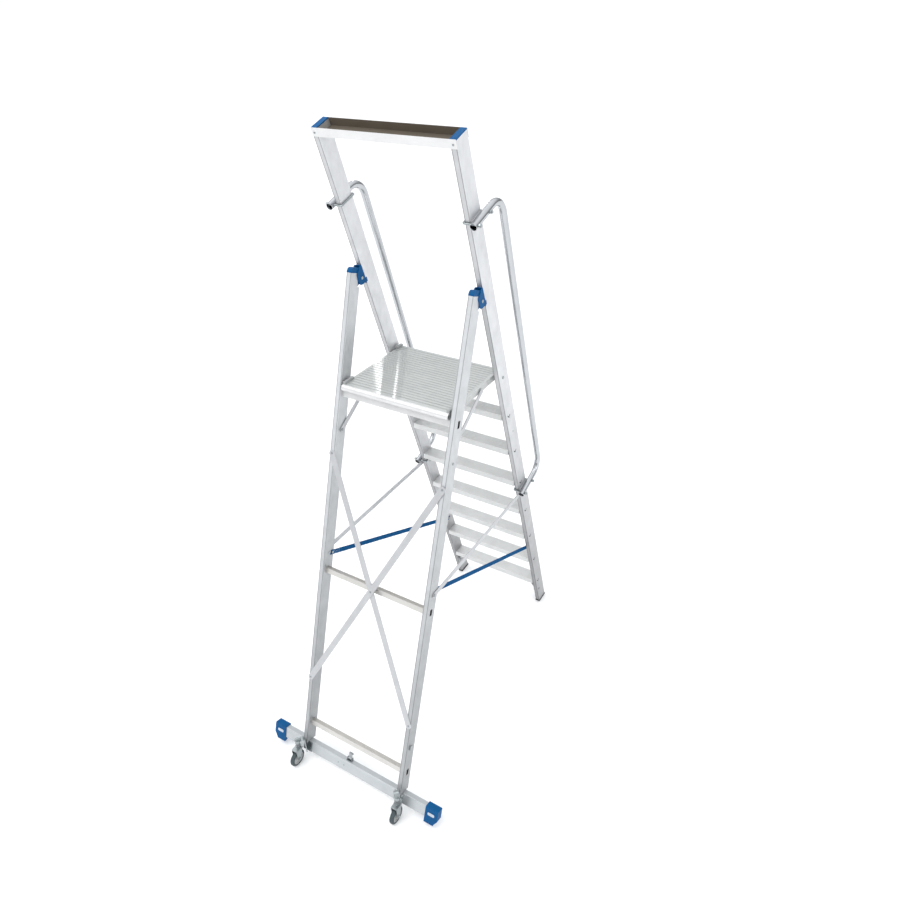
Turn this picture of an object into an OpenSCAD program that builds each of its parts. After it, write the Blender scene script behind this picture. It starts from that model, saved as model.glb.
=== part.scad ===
// Rolling platform stepladder, standing open.
// An A-frame of aluminium box-section stiles: the front section carries seven treads,
// two handrails and a tool tray; the rear section carries three rungs, an X-brace and a
// wide foot traverse on two sprung swivel casters. The platform folds up between them.
// Axes: X is the width, -Y is the climbing side, +Y is the caster side, Z is up.

/* [Heights and slopes] */
// Height from one standing level to the next
level_pitch = 237.5; // [220:0.5:260]
// Lean of the front stiles from the vertical, degrees
front_lean = 18.8; // [15:0.1:25]
// Lean of the rear stiles from the vertical, degrees
rear_lean = 18; // [15:0.1:25]
// Length of the front stiles, along their slope
stile_length = 3064; // [2800:1:3200]

/* [Stiles] */
// Overall width over the outer faces of the stiles
frame_width = 596; // [500:1:700]
// Width of each stile, seen from the front
stile_width = 25; // [20:1:30]
// Depth of the front stiles
front_depth = 78; // [65:1:90]
// Depth of the rear stiles
rear_depth = 65; // [50:1:80]
// Wall of the stile tubes
stile_wall = 2; // [1.5:0.1:3]

/* [Hinge] */
// Hinge pin, measured up the front stile from the floor
hinge_height = 2440; // [2300:1:2500]
// Hinge pin behind the front stile's rear face
hinge_gap = 22.5; // [18:0.5:30]
// Hinge pin in front of the rear stile's front face
rear_set_back = 7; // [5:0.5:12]
// Radius of the hinge pin
hinge_pin_r = 5; // [4:0.5:8]

/* [Treads and platform] */
// Depth of a tread, front to back
tread_depth = 78; // [60:1:78]
// Height of a tread's box section
tread_height = 28; // [20:1:35]
// Depth of the platform, front to back
platform_depth = 462; // [400:1:500]
// Thickness of the platform
platform_height = 30; // [25:1:40]
// Width of the platform
platform_width = 528; // [450:1:540]

/* [Handrails and tray] */
// Outside radius of the handrail tube
rail_r = 15; // [12:0.5:20]
// Distance of the handrail in front of the stile's rear face
rail_reach = 197.5; // [150:0.5:250]
// Bend radius of the handrail
rail_bend = 75; // [50:1:100]
// Upper handrail clamp, measured up the stile
rail_top = 2764; // [2600:1:2900]
// Lower handrail clamp, measured up the stile
rail_bottom = 1192; // [1100:1:1300]
// Height of the tool tray's walls
tray_height = 32; // [25:1:60]

/* [Rear section] */
// Rungs, measured down the rear stile from the hinge pin
rung_drops = [490, 1348, 2207]; // [400:1:2300]
// Side of the top rung's square tube, which the platform rests on
rung_size = 30; // [25:1:40]
// Side of the middle and bottom rungs' square tube
rung_slim = 25; // [20:1:40]
// Top and bottom of the X-brace below the hinge pin
brace_drops = [765, 1930]; // [700:1:2000]
// Width of the brace bars
brace_width = 29; // [20:1:35]
// Platform stay pin below the hinge pin
platform_stay_drop = 657; // [600:1:700]
// Side stay pin below the hinge pin
side_stay_drop = 1260; // [1200:1:1300]
// Side stay hook, measured up the front stile
side_stay_catch = 1160; // [1100:1:1170]

/* [Foot traverse and casters] */
// Overall length of the foot traverse tube
traverse_length = 976; // [800:1:1100]
// Centre of the foot traverse below the hinge pin
traverse_drop = 2352; // [2300:1:2400]
// Height of the traverse feet above the floor while the casters carry the ladder
foot_lift = 31; // [20:1:40]
// Radius of the caster wheels
wheel_r = 44; // [40:1:60]
// Width of the caster tyres
tyre_width = 22; // [20:1:35]
// Caster swivel axis from the centre line
caster_x = 303; // [280:1:340]
// Caster swivel axis behind the origin of the slopes
caster_y = 1628; // [1622:1:1640]
// Offset of the wheel axle behind the swivel axis
caster_trail = 22; // [15:1:40]

/* [Hidden] */
$fn = 32;
gap = 0.3;                                  // clearance between loose neighbours
inner_x = frame_width / 2 - stile_width;    // inner face of a stile
outer_x = frame_width / 2;                  // outer face of a stile
mid_x = frame_width / 2 - stile_width / 2;  // centre of a stile
foot_front = front_depth / cos(front_lean) + 2.5;
centre_y = (caster_y + caster_trail + wheel_r - foot_front) / 2;
hinge_y = hinge_height * sin(front_lean) + hinge_gap * cos(front_lean);
hinge_z = hinge_height * cos(front_lean) - hinge_gap * sin(front_lean);
rear_back = rear_set_back + rear_depth;     // rear face of the rear stiles
rear_mid = rear_back - 33;                  // line of the rear fastenings
corner_r = 2.5;                             // outer corners of the stile tubes
sole = 14;                                  // thickness of the rubber soles
tread_set_back = 2;                         // tread's rear edge in front of the stile's
groove = 1.5;                               // depth of the tread and platform grooves
skin = 2.5;                                 // wall of the treads and platform
platform_top = 8 * level_pitch;
platform_front = front_y(platform_top) - front_depth / cos(front_lean) + 2;
platform_back = platform_front + platform_depth;
platform_pin = [31, 1981];                  // forward of the rear face, up the stile
stay_thick = 4;
platform_stay_x = platform_width / 2 + 3;
platform_stay_end = [751, platform_top - 23];
bolt_r = 4;
clamp_pad = 4.5;                            // thickness of the handrail's clamp pads
rail_x = outer_x + clamp_pad + rail_r;
rail_wall = 2;
rail_end = 20;                              // open tube end behind the rear face
clamp_ys = [5, -front_depth - 5];           // the two legs of a U-bolt
tray_wall = 2;
cap_height = 4;
hinge_ear = 3;                              // thickness of the hinge's ears
notch_top = 40;                             // rear stile cut away around the hinge
stile_rise = 18;                            // rear stile's top above the hinge pin
rear_stile_end = traverse_drop - 30;
traverse_size = [30, 60];
traverse_mid = rear_mid - 1;
foot_inner = 428;
foot_outer = 497;
foot_wall = 4;
bracket_foot = [278, 1602];                 // inner leg of a caster bracket
bracket_top = 163;
bracket_plate = 5;
cup_r = 14;                                 // spring cup at the bracket's outer end
cup_bottom = 144;
fork_top = 109;
kingpin_r = 6;
axle_r = 5;
rim_r = 32;                                 // outer radius of the wheel centre's rim
running = 0.06;                             // radial clearance of running fits
brace_strap = 30;                           // width of the lowest tread's brace straps
brace_arm = 62;                             // how far they reach along tread and stile
brace_flange = 24;
brace_set_back = 70;                        // their front edge, from the stile's rear face
stile_rivet = 1621;                         // small rivet on the front stile's outer face
label_rivets = [52, 86];
clip_bottom = -2070;
side_stay_x = outer_x + 1;
side_stay_thick = 3;
side_stay_width = 25;
side_stay_exit = 28.6;                      // lean of the hook's slot, along its first travel
catch_y = -34;
strap_ends = [[-32, 598], [18, -1265]];     // front anchor, rear anchor, each in its frame
strap_rivet_r = 3;
latch_x = 30;
latch_pin = [34, -(traverse_drop - 41)];
latch_pin_r = 2.5;

// ---- frames and helpers

// Rear face of the front stiles at height z
function front_y(z) = z * tan(front_lean);

module world() translate([0, -centre_y, 0]) children();

module front_frame() world() rotate([-front_lean, 0, 0]) children();

module rear_frame() {
  world() translate([0, hinge_y, hinge_z]) rotate([rear_lean, 0, 0]) children();
}

module both_sides() {
  children();
  mirror([1, 0, 0]) children();
}

module right_side() mirror([1, 0, 0]) children();

// Extrudes a (Y, Z) outline along X, centred
module along_x(length) {
  translate([-length / 2, 0, 0]) rotate([90, 0, 90]) linear_extrude(length) children();
}

// A rod along X from one x to the other
module rod_x(r, from, to) {
  translate([from, 0, 0]) rotate([0, 90, 0]) cylinder(r = r, h = to - from);
}

// A rod along Y from one y to the other
module rod_y(r, from, to) {
  translate([0, from, 0]) rotate([-90, 0, 0]) cylinder(r = r, h = to - from);
}

// A hexagon nut or bolt head along X
module hex_x(r, from, to) {
  translate([from, 0, 0]) rotate([0, 90, 0]) cylinder(r = r, h = to - from, $fn = 6);
}

// A low dome-headed rivet: a flange with a smaller crown, pointing +Z
module rivet_head(r = 4, h = 1.6) {
  cylinder(r = r, h = h * 0.6);
  cylinder(r = r * 0.7, h = h);
}

// The rivet that holds a safety strap's end to a stile's inner face
module strap_rivet() {
  head = inner_x - 2.6;
  translate([head, 0, 0]) rotate([0, -90, 0]) rivet_head(7, 2.4);
  rod_x(strap_rivet_r, head, inner_x);
}

// A rectangle with round corners, from the origin
module rounded(size, r) {
  translate([r, 0]) square([size[0] - 2 * r, size[1]]);
  translate([0, r]) square([size[0], size[1] - 2 * r]);
  for (x = [r, size[0] - r], y = [r, size[1] - r]) translate([x, y]) circle(r);
}

// A closed rectangular tube with round outer corners, seen in section
module box_section(size, wall) {
  difference() {
    rounded(size, corner_r);
    translate([wall, wall]) square([size[0] - 2 * wall, size[1] - 2 * wall]);
  }
}

// Everything below height z, in the front section's frame
module below(z) {
  rotate([front_lean, 0, 0]) translate([0, -200, z - 200]) cube([400, 400, 200]);
}

// A bar with round ends from a to b in the YZ plane, from x to x + thick, with a hole at a
module stay(a, b, width, x, thick, hole_r) {
  span = norm(b - a);
  angle = atan2(b[1] - a[1], b[0] - a[0]);
  translate([x, a[0], a[1]]) rotate([angle, 0, 0]) difference() {
    union() {
      translate([0, 0, -width / 2]) cube([thick, span, width]);
      rod_x(width / 2, 0, thick);
      translate([0, span, 0]) rod_x(width / 2, 0, thick);
    }
    rod_x(hole_r, -1, thick + 1);
  }
}

// ---- front section

module front_stile_blank() {
  difference() {
    translate([inner_x, -front_depth, -40])
      linear_extrude(stile_length + 40)
        box_section([stile_width, front_depth], stile_wall);
    below(sole);
    translate([0, -platform_pin[0], platform_pin[1]])
      rod_x(bolt_r + running, inner_x - 1, outer_x + 1);
    translate([0, catch_y, side_stay_catch])
      rod_x(bolt_r + running, inner_x - 1, outer_x + 1);
  }
}

module front_stile_left() color("gainsboro") front_frame() front_stile_blank();

module front_stile_right() color("gainsboro") front_frame() right_side() front_stile_blank();

// Rubber soles under the front stiles, each with a plug up inside the tube
module front_feet() {
  lip = 1;
  plug = stile_wall + gap;
  plug_top = 60;
  color("dimgray") front_frame() both_sides() difference() {
    union() {
      translate([inner_x - lip, -front_depth - lip, -40])
        cube([stile_width + 2 * lip, front_depth + 2 * lip, 90]);
      translate([inner_x + plug, plug - front_depth, 0])
        cube([stile_width - 2 * plug, front_depth - 2 * plug, plug_top]);
    }
    difference() {
      translate([inner_x - 5, -front_depth - 5, -80])
        cube([stile_width + 10, front_depth + 10, 240]);
      below(sole);
      translate([inner_x + plug, plug - front_depth, -50])
        cube([stile_width - 2 * plug, front_depth - 2 * plug, plug_top + 50]);
    }
    below(0);
  }
}

// A hollow two-cell section with grooves in its top: depth along X, height downward
module ribbed_section(depth, height, grooves, pitch) {
  width = pitch * 0.42;
  difference() {
    translate([0, -height]) square([depth, height]);
    translate([skin, skin + 1 - height])
      square([depth / 2 - 1.5 * skin, height - 2 * skin - 2]);
    translate([depth / 2 + skin / 2, skin + 1 - height])
      square([depth / 2 - 1.5 * skin, height - 2 * skin - 2]);
    for (i = [1 : grooves])
      translate([i * pitch - width / 2, -groove]) square([width, groove + 1]);
  }
}

module tread(level) {
  z = level * level_pitch;
  color("lightgray") world()
    translate([0, front_y(z) - tread_set_back - tread_depth, z])
      along_x(2 * inner_x) ribbed_section(tread_depth, tread_height, 6, tread_depth / 7);
}

// Where the treads are swaged through the stiles: a raised tick on the outer face
module swage() {
  raised = 0.6;
  translate([outer_x, 0, 0]) {
    translate([0, 0, -2]) rotate([-32, 0, 0]) cube([raised, 5, 22]);
    translate([0, -1, -1]) rotate([40, 0, 0]) cube([raised, 4, 12]);
  }
}

module tread_swages() {
  color("gray") front_frame() both_sides()
    for (level = [1 : 7])
      translate([0, -28, level * level_pitch / cos(front_lean) - 24]) swage();
}

// Bent steel straps from under the lowest tread to the stiles' inner faces
module tread_braces() {
  arm = brace_arm;
  flange = brace_flange;
  thick = 3;
  color("silver") world() both_sides()
    translate([inner_x, front_y(level_pitch) - brace_set_back, level_pitch - tread_height])
      rotate([90, 0, 0]) mirror([0, 0, 1]) linear_extrude(brace_strap)
        polygon([[0, -arm - flange], [0, -arm + thick], [-arm + thick, 0],
          [-arm - flange, 0], [-arm - flange, -thick], [-arm, -thick],
          [-thick, -arm], [-thick, -arm - flange]]);
}

module tread_brace_bolts() {
  color("slategray") world() both_sides()
    translate([0, front_y(level_pitch) - brace_set_back + brace_strap / 2,
      level_pitch - tread_height]) {
      translate([0, 0, -brace_arm - brace_flange / 2]) {
        hex_x(7, outer_x, outer_x + 5);
        hex_x(7, inner_x - 9, inner_x - 3);
      }
      translate([inner_x - brace_arm - brace_flange / 2, 0, -8]) cylinder(r = 7, h = 5, $fn = 6);
    }
}

module stile_caps() {
  color("royalblue") front_frame() both_sides()
    translate([inner_x, -front_depth, stile_length]) {
      cube([stile_width, front_depth, cap_height]);
      translate([stile_wall + gap, stile_wall + gap, -24])
        cube([stile_width - 2 * (stile_wall + gap), front_depth - 2 * (stile_wall + gap), 24]);
    }
}

module tool_tray() {
  base = stile_length + cap_height - tray_height;
  color("whitesmoke") front_frame() difference() {
    translate([0, -front_depth - tray_wall, base]) along_x(frame_width) difference() {
      square([front_depth + 2 * tray_wall, tray_height]);
      translate([tray_wall, tray_wall]) square([front_depth, tray_height]);
    }
    both_sides() translate([inner_x, -front_depth, base - 1])
      cube([stile_width + 1, front_depth, tray_height + 2]);
  }
}

// Tray rivets, hinge bracket rivets and strap rivets
module front_rivets() {
  tray_rivet = stile_length - 14;
  color("silver") front_frame() both_sides() {
    translate([mid_x, tray_wall, tray_rivet]) rotate([-90, 0, 0]) rivet_head();
    translate([mid_x, -front_depth - tray_wall, tray_rivet]) rotate([90, 0, 0]) rivet_head();
    translate([outer_x, -37, stile_rivet]) rotate([0, 90, 0]) rivet_head(3.2);
    translate([0, strap_ends[0][0], strap_ends[0][1]]) strap_rivet();
  }
}

// One length of handrail tube along Z
module tube(length) {
  linear_extrude(length) difference() {
    circle(rail_r);
    circle(rail_r - rail_wall);
  }
}

// A quarter bend of handrail: starts along +Z at the origin and turns towards -Y
module bend() {
  translate([0, -rail_bend, 0]) rotate([0, -90, 0]) rotate([0, 0, 90])
    rotate_extrude(angle = -90) translate([rail_bend, 0]) difference() {
      circle(rail_r);
      circle(rail_r - rail_wall);
    }
}

module handrail_blank() {
  grip = rail_top - rail_bottom - 2 * rail_bend;
  leg = rail_end + rail_reach - rail_bend;
  translate([rail_x, 0, 0]) difference() {
    union() {
      translate([0, -rail_reach, rail_bottom + rail_bend]) tube(grip);
      translate([0, -rail_reach, rail_top - rail_bend]) mirror([0, 1, 0]) bend();
      translate([0, -rail_reach, rail_bottom + rail_bend])
        mirror([0, 0, 1]) mirror([0, 1, 0]) bend();
      for (s = [rail_bottom, rail_top])
        translate([0, rail_end, s]) rotate([90, 0, 0]) tube(leg);
    }
    for (s = [rail_bottom, rail_top], y = clamp_ys)
      translate([0, y, s]) rod_x(bolt_r + 0.2, -rail_r - 1, rail_r + 1);
  }
}

module handrail_left() color("lightsteelblue") front_frame() handrail_blank();

module handrail_right() {
  color("lightsteelblue") front_frame() right_side() handrail_blank();
}

// Flat pads between the handrail ends and the stiles
module rail_clamp_pads() {
  color("gray") front_frame() both_sides() for (s = [rail_bottom, rail_top])
    translate([outer_x, -front_depth + 4, s - 6]) cube([clamp_pad, front_depth - 8, 12]);
}

module u_bolt() {
  base_x = inner_x - bolt_r - 0.5;
  corner = 6;
  mid = (clamp_ys[0] + clamp_ys[1]) / 2;
  half = (clamp_ys[0] - clamp_ys[1]) / 2;
  translate([0, mid, 0]) for (side = [-1, 1]) scale([1, side, 1]) {
    translate([0, half, 0]) rod_x(bolt_r, base_x + corner, rail_x + rail_r + 5);
    translate([base_x, 0, 0]) rod_y(bolt_r, 0, half - corner);
    translate([base_x + corner, half - corner, 0]) rotate([0, 0, 90])
      rotate_extrude(angle = 90) translate([corner, 0]) circle(bolt_r);
  }
}

module rail_u_bolts() {
  color("silver") front_frame() both_sides()
    for (s = [rail_bottom, rail_top]) translate([0, 0, s]) u_bolt();
}

module rail_cap_nuts() {
  from = rail_x + rail_r + 0.5;
  color("silver") front_frame() both_sides()
    for (s = [rail_bottom, rail_top], y = clamp_ys)
      translate([0, y, s]) difference() {
        union() {
          hex_x(7.5, from, from + 7);
          rod_x(5.5, from + 7, from + 10);
        }
        rod_x(bolt_r + 0.05, from - 1, from + 4.6);
      }
}

// Fixed half of the hinge: a saddle on the front stile with a teardrop ear on each side
module hinge_brackets() {
  base = 4;
  color("royalblue") front_frame() both_sides() translate([0, 0, hinge_height])
    difference() {
      union() {
        for (x = [inner_x - gap - hinge_ear, outer_x + gap]) translate([x, 0, 0])
          rotate([90, 0, 90]) linear_extrude(hinge_ear) hull() {
            translate([26, -4]) circle(24);
            translate([30, 20]) circle(17);
            translate([11, 42]) circle(8);
            translate([6, -26]) circle(4);
          }
        translate([inner_x - 1, 0, -40]) cube([stile_width + 2, base, 86]);
        translate([inner_x - 1, -8, -36]) cube([1, 9, 20]);
        translate([outer_x, -8, -36]) cube([1, 9, 20]);
      }
      translate([0, hinge_gap, 0])
        rod_x(hinge_pin_r + 0.02, inner_x - hinge_ear - 1, outer_x + hinge_ear + 1);
    }
}

module hinge_pins() {
  side = gap + hinge_ear;
  color("silver") front_frame() both_sides() translate([0, hinge_gap, hinge_height]) {
    rod_x(hinge_pin_r, inner_x - side, outer_x + side);
    rod_x(hinge_pin_r + 1.5, outer_x + side, outer_x + side + 1.5);
    rod_x(hinge_pin_r + 1.5, inner_x - side - 1.5, inner_x - side);
  }
}

// Platform pivot bolts and the hooks' studs for the side stays
module front_pivot_bolts() {
  color("slategray") front_frame() both_sides() {
    translate([0, -platform_pin[0], platform_pin[1]]) {
      rod_x(bolt_r, platform_width / 2 - 14, outer_x);
      rod_x(7, outer_x, outer_x + 2.5);
    }
    translate([0, catch_y, side_stay_catch]) {
      rod_x(bolt_r, inner_x, side_stay_x + side_stay_thick + 1);
      rod_x(7, side_stay_x + side_stay_thick + 1, side_stay_x + side_stay_thick + 4);
      rod_x(7, inner_x - 2, inner_x);
    }
  }
}

// ---- platform

module platform_deck() {
  nose = 16;
  color("lightgray") world()
    translate([0, platform_front, platform_top])
      along_x(platform_width - 24)
        ribbed_section(platform_depth - nose, platform_height - 4, 22, 19.3);
}

// Rounded rear edge of the platform
module platform_nosing() {
  nose = 16;
  r = platform_height / 2;
  color("white") world()
    translate([0, platform_back - nose, platform_top])
      along_x(platform_width) difference() {
        union() {
          translate([0, -platform_height]) square([1, platform_height]);
          translate([1, -r]) intersection() {
            circle(r);
            translate([0, -r]) square([r, 2 * r]);
          }
        }
        translate([1, -r]) circle(r - 3);
      }
}

module platform_side_rails() {
  color("silver") world() both_sides()
    translate([platform_width / 2 - 12, platform_front + 60, platform_top - platform_height])
      cube([12, platform_depth - 140, platform_height]);
}

// Plastic corner blocks: the platform turns on its bolts in the front pair, and the rear
// pair has pads that rest on the top rung
module platform_corners() {
  pad = 2.2;
  guide = 10;
  pin_y = platform_pin[1] * sin(front_lean) - platform_pin[0] * cos(front_lean);
  pin_z = platform_pin[1] * cos(front_lean) + platform_pin[0] * sin(front_lean);
  color("dimgray") world() both_sides() {
    difference() {
      translate([platform_width / 2 - 12, platform_front, platform_top - platform_height])
        cube([12, 60, platform_height]);
      translate([0, pin_y, pin_z])
        rod_x(bolt_r + running, platform_width / 2 - 15, platform_width / 2 + 1);
    }
    translate([platform_width / 2 - 12, platform_front, platform_top - 1])
      cube([12, 44, guide + 1]);
    translate([platform_width / 2 - 12, platform_back - 80, platform_top - platform_height])
      cube([12, 64, platform_height + guide]);
    translate([platform_width / 2 - 12, platform_back - 32, platform_top - platform_height - pad])
      cube([12, 16, pad + 1]);
  }
}

// ---- rear section

module rear_stile_blank() {
  difference() {
    translate([inner_x, rear_set_back, -rear_stile_end])
      linear_extrude(rear_stile_end + stile_rise)
        box_section([stile_width, rear_depth], stile_wall);
    translate([inner_x - 1, rear_set_back - 1, -notch_top])
      cube([stile_width + 2, 16, notch_top + stile_rise + 1]);
    for (drop = [platform_stay_drop, side_stay_drop])
      translate([0, rear_mid, -drop]) rod_x(bolt_r + 0.1, inner_x - 1, outer_x + 1);
    for (drop = rung_drops)
      translate([outer_x - stile_wall - 1, rear_mid - 9, -drop - 16])
        cube([stile_wall + 2, 18, 32]);
  }
}

module rear_stile_left() color("gainsboro") rear_frame() rear_stile_blank();

module rear_stile_right() color("gainsboro") rear_frame() right_side() rear_stile_blank();

// Moving half of the hinge: a cap on the rear stile with a tongue around the pin
module hinge_caps() {
  tongue = 22;
  front = rear_set_back + 15;
  high = stile_rise + 22;
  color("dodgerblue") rear_frame() both_sides() difference() {
    union() {
      translate([mid_x, 0, stile_rise]) along_x(stile_width) polygon([[front, 0], [rear_back, 0],
        [rear_back, 7], [rear_back - 5, 17], [rear_back - 14, 22], [front, 22]]);
      translate([inner_x + stile_wall + gap, front + gap, stile_rise - 24])
        cube([stile_width - 2 * (stile_wall + gap), rear_depth - 17 - 2 * gap, 24]);
      translate([mid_x - tongue / 2, 0, 0]) rotate([90, 0, 90]) linear_extrude(tongue) {
        circle(16);
        polygon([[0, -16], [front, -38], [front, stile_rise], [front + 1, stile_rise],
          [front + 1, high], [14, high], [0, 16]]);
      }
    }
    rod_x(hinge_pin_r + running, inner_x - 1, outer_x + 1);
  }
}

// A ribbed square rung between the rear stiles
module rung(index, size) {
  color("lightgray") rear_frame()
    translate([0, rear_mid - size / 2, size / 2 - rung_drops[index]])
      along_x(2 * inner_x) ribbed_section(size, size, 3, size / 4);
}

// A brace bar on the stiles' rear faces: which = 1 or -1 picks its diagonal
module brace_bar(which, y) {
  run = 2 * mid_x;
  rise = brace_drops[1] - brace_drops[0];
  length = norm([run, rise]);
  thick = 3;
  color("whitesmoke") rear_frame()
    translate([0, y, -(brace_drops[0] + brace_drops[1]) / 2])
      rotate([0, which * atan2(run, rise), 0]) {
        translate([-brace_width / 2, 0, -length / 2]) cube([brace_width, thick, length]);
        for (end = [-1, 1])
          translate([0, 0, end * length / 2]) rod_y(brace_width / 2, 0, thick);
      }
}

// Brace rivets and spacers, traverse label rivets, caster bracket bolts, strap rivets
module rear_rivets() {
  mid_drop = (brace_drops[0] + brace_drops[1]) / 2;
  color("silver") rear_frame() {
    for (which = [-1, 1], drop = brace_drops) {
      raised = (which * (drop - mid_drop) < 0) ? 0 : 3;
      translate([which * mid_x, rear_back + 3 + raised, -drop])
        rotate([-90, 0, 0]) rivet_head(5, 2);
      if (raised > 0)
        translate([which * mid_x, 0, -drop]) rod_y(9, rear_back, rear_back + raised);
    }
    translate([0, 0, -mid_drop]) rod_y(8, rear_mid + rung_slim / 2, rear_back);
    translate([0, rear_back + 6, -mid_drop]) rotate([-90, 0, 0]) rivet_head(5, 2);
    for (x = label_rivets)
      translate([x, traverse_mid + traverse_size[0] / 2, -traverse_drop])
        rotate([-90, 0, 0]) rivet_head(4, 1.6);
    both_sides() {
      for (x = [bracket_foot[0] - 18, bracket_foot[0] + 18])
        translate([x, traverse_mid + traverse_size[0] / 2 + 4, -traverse_drop])
          rotate([-90, 0, 0]) cylinder(r = 5.5, h = 4, $fn = 6);
      translate([0, strap_ends[1][0], strap_ends[1][1]]) strap_rivet();
    }
  }
}

module traverse() {
  color("gainsboro") rear_frame()
    translate([0, traverse_mid - traverse_size[0] / 2, -traverse_drop - traverse_size[1] / 2])
      along_x(traverse_length) box_section(traverse_size, 2.5);
}

// Blue end blocks with level soles and chamfered outer corners
module traverse_feet() {
  depth = traverse_size[0] + 2 * foot_wall;
  top = foot_wall + traverse_size[1] / 2 - traverse_drop;
  sole = top - 110;
  color("royalblue") rear_frame() both_sides() difference() {
    translate([0, traverse_mid + depth / 2, 0]) rotate([90, 0, 0]) linear_extrude(depth)
      polygon([[foot_inner, top], [foot_outer, top], [foot_outer, top - 56],
        [foot_outer - 18, top - 84], [foot_outer - 18, sole], [foot_inner, sole]]);
    translate([0, traverse_mid - traverse_size[0] / 2, -traverse_drop - traverse_size[1] / 2])
      cube([traverse_length / 2, traverse_size[0], traverse_size[1]]);
    rotate([-rear_lean, 0, 0]) translate([0, 0, foot_lift - hinge_z - 200])
      cube([600, 1200, 200]);
  }
}

// Arched steel strap from a plate on the traverse to a cup over the caster's spring
module caster_brackets() {
  reach = [caster_x - bracket_foot[0], caster_y - bracket_foot[1]];
  bend_r = (norm(reach) - cup_r + bracket_plate / 2) / 2;
  strap_w = 24;
  leg_top = bracket_top - bend_r - bracket_plate / 2;
  plate_half = 25;
  color("silver") both_sides() {
    rear_frame() translate([bracket_foot[0] - plate_half, traverse_mid + traverse_size[0] / 2,
      -traverse_drop - traverse_size[1] / 2 + 3])
      cube([2 * plate_half, 4, traverse_size[1] - 6]);
    world() difference() {
      union() {
        translate([bracket_foot[0], bracket_foot[1], 0])
          rotate([0, 0, atan2(reach[1], reach[0])]) {
            translate([-bracket_plate / 2, -strap_w / 2, 63])
              cube([bracket_plate, strap_w, leg_top - 63]);
            translate([bend_r, strap_w / 2, leg_top]) rotate([90, 0, 0])
              rotate_extrude(angle = 180)
                translate([bend_r - bracket_plate / 2, 0]) square([bracket_plate, strap_w]);
          }
        translate([caster_x, caster_y, cup_bottom])
          cylinder(r = cup_r, h = bracket_top - cup_bottom);
      }
      translate([caster_x, caster_y, 0]) cylinder(r = kingpin_r + running, h = 200);
      translate([caster_x, caster_y, 0])
        cylinder(r = cup_r - 2, h = bracket_top - bracket_plate);
    }
  }
}

// Pins of the platform stays and the side stays
module stay_pivot_pins() {
  color("slategray") rear_frame() both_sides() {
    translate([0, rear_mid, -platform_stay_drop]) {
      rod_x(bolt_r, platform_stay_x - 0.5, outer_x);
      rod_x(6, outer_x, outer_x + 2);
      rod_x(6.5, platform_stay_x - 2.5, platform_stay_x - 0.5);
    }
    translate([0, rear_mid, -side_stay_drop]) {
      rod_x(bolt_r, inner_x, side_stay_x + side_stay_thick + 0.5);
      rod_x(7, inner_x - 1.5, inner_x);
      rod_x(7.5, side_stay_x + side_stay_thick + 0.5, side_stay_x + side_stay_thick + 3.5);
    }
  }
}

// L-shaped clips that hold the hanging side stays against the folded frame
module stay_clips() {
  reach = side_stay_x + side_stay_thick + 1 - outer_x;
  back = rear_mid + side_stay_width / 2 + 1;
  color("silver") rear_frame() both_sides() translate([outer_x, back, clip_bottom]) {
    cube([reach + 2, 3, 22]);
    translate([reach, -12, 0]) cube([2, 12, 22]);
  }
}

// ---- stays, straps and latch

module platform_stay() {
  pin = [hinge_y + rear_mid * cos(rear_lean) + platform_stay_drop * sin(rear_lean),
    hinge_z + rear_mid * sin(rear_lean) - platform_stay_drop * cos(rear_lean)];
  world() {
    stay(pin, platform_stay_end, 22, platform_stay_x, stay_thick, bolt_r + running);
    translate([0, platform_stay_end[0], platform_stay_end[1]])
      rod_x(6, platform_stay_x - 2.5, platform_stay_x);
  }
}

module platform_stay_left() color("silver") platform_stay();

module platform_stay_right() color("silver") right_side() platform_stay();

// Side stay: pinned to the rear stile, with a hook over the front stud
module side_stay() {
  pin = [hinge_y + rear_mid * cos(rear_lean) + side_stay_drop * sin(rear_lean),
    hinge_z + rear_mid * sin(rear_lean) - side_stay_drop * cos(rear_lean)];
  stud = [side_stay_catch * sin(front_lean) + catch_y * cos(front_lean),
    side_stay_catch * cos(front_lean) - catch_y * sin(front_lean)];
  slot = bolt_r + 0.4;
  world() difference() {
    stay(pin, stud, side_stay_width, side_stay_x, side_stay_thick, bolt_r + running);
    translate([0, stud[0], stud[1]]) {
      rod_x(slot, side_stay_x - 1, side_stay_x + side_stay_thick + 1);
      rotate([-side_stay_exit, 0, 0]) translate([side_stay_x - 1, -slot, 0])
        cube([side_stay_thick + 2, 2 * slot, side_stay_width]);
    }
  }
}

module side_stay_left() color("silver") side_stay();

module side_stay_right() color("silver") right_side() side_stay();

// A taut webbing strap between the inner faces of the front and rear stiles
module safety_strap() {
  thick = 2;
  width = 25;
  front = [strap_ends[0][1] * sin(front_lean) + strap_ends[0][0] * cos(front_lean),
    strap_ends[0][1] * cos(front_lean) - strap_ends[0][0] * sin(front_lean)];
  back = [hinge_y + strap_ends[1][0] * cos(rear_lean) - strap_ends[1][1] * sin(rear_lean),
    hinge_z + strap_ends[1][0] * sin(rear_lean) + strap_ends[1][1] * cos(rear_lean)];
  span = norm(back - front) + width;
  angle = atan2(back[1] - front[1], back[0] - front[0]);
  world() translate([inner_x - gap - thick, front[0], front[1]]) rotate([angle, 0, 0])
    difference() {
      translate([0, -width / 2, -width / 2]) cube([thick, span, width]);
      for (y = [0, span - width])
        translate([0, y, 0]) rod_x(strap_rivet_r + gap, -1, thick + 1);
    }
}

module safety_strap_left() color("mediumblue") safety_strap();

module safety_strap_right() color("mediumblue") right_side() safety_strap();

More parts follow.
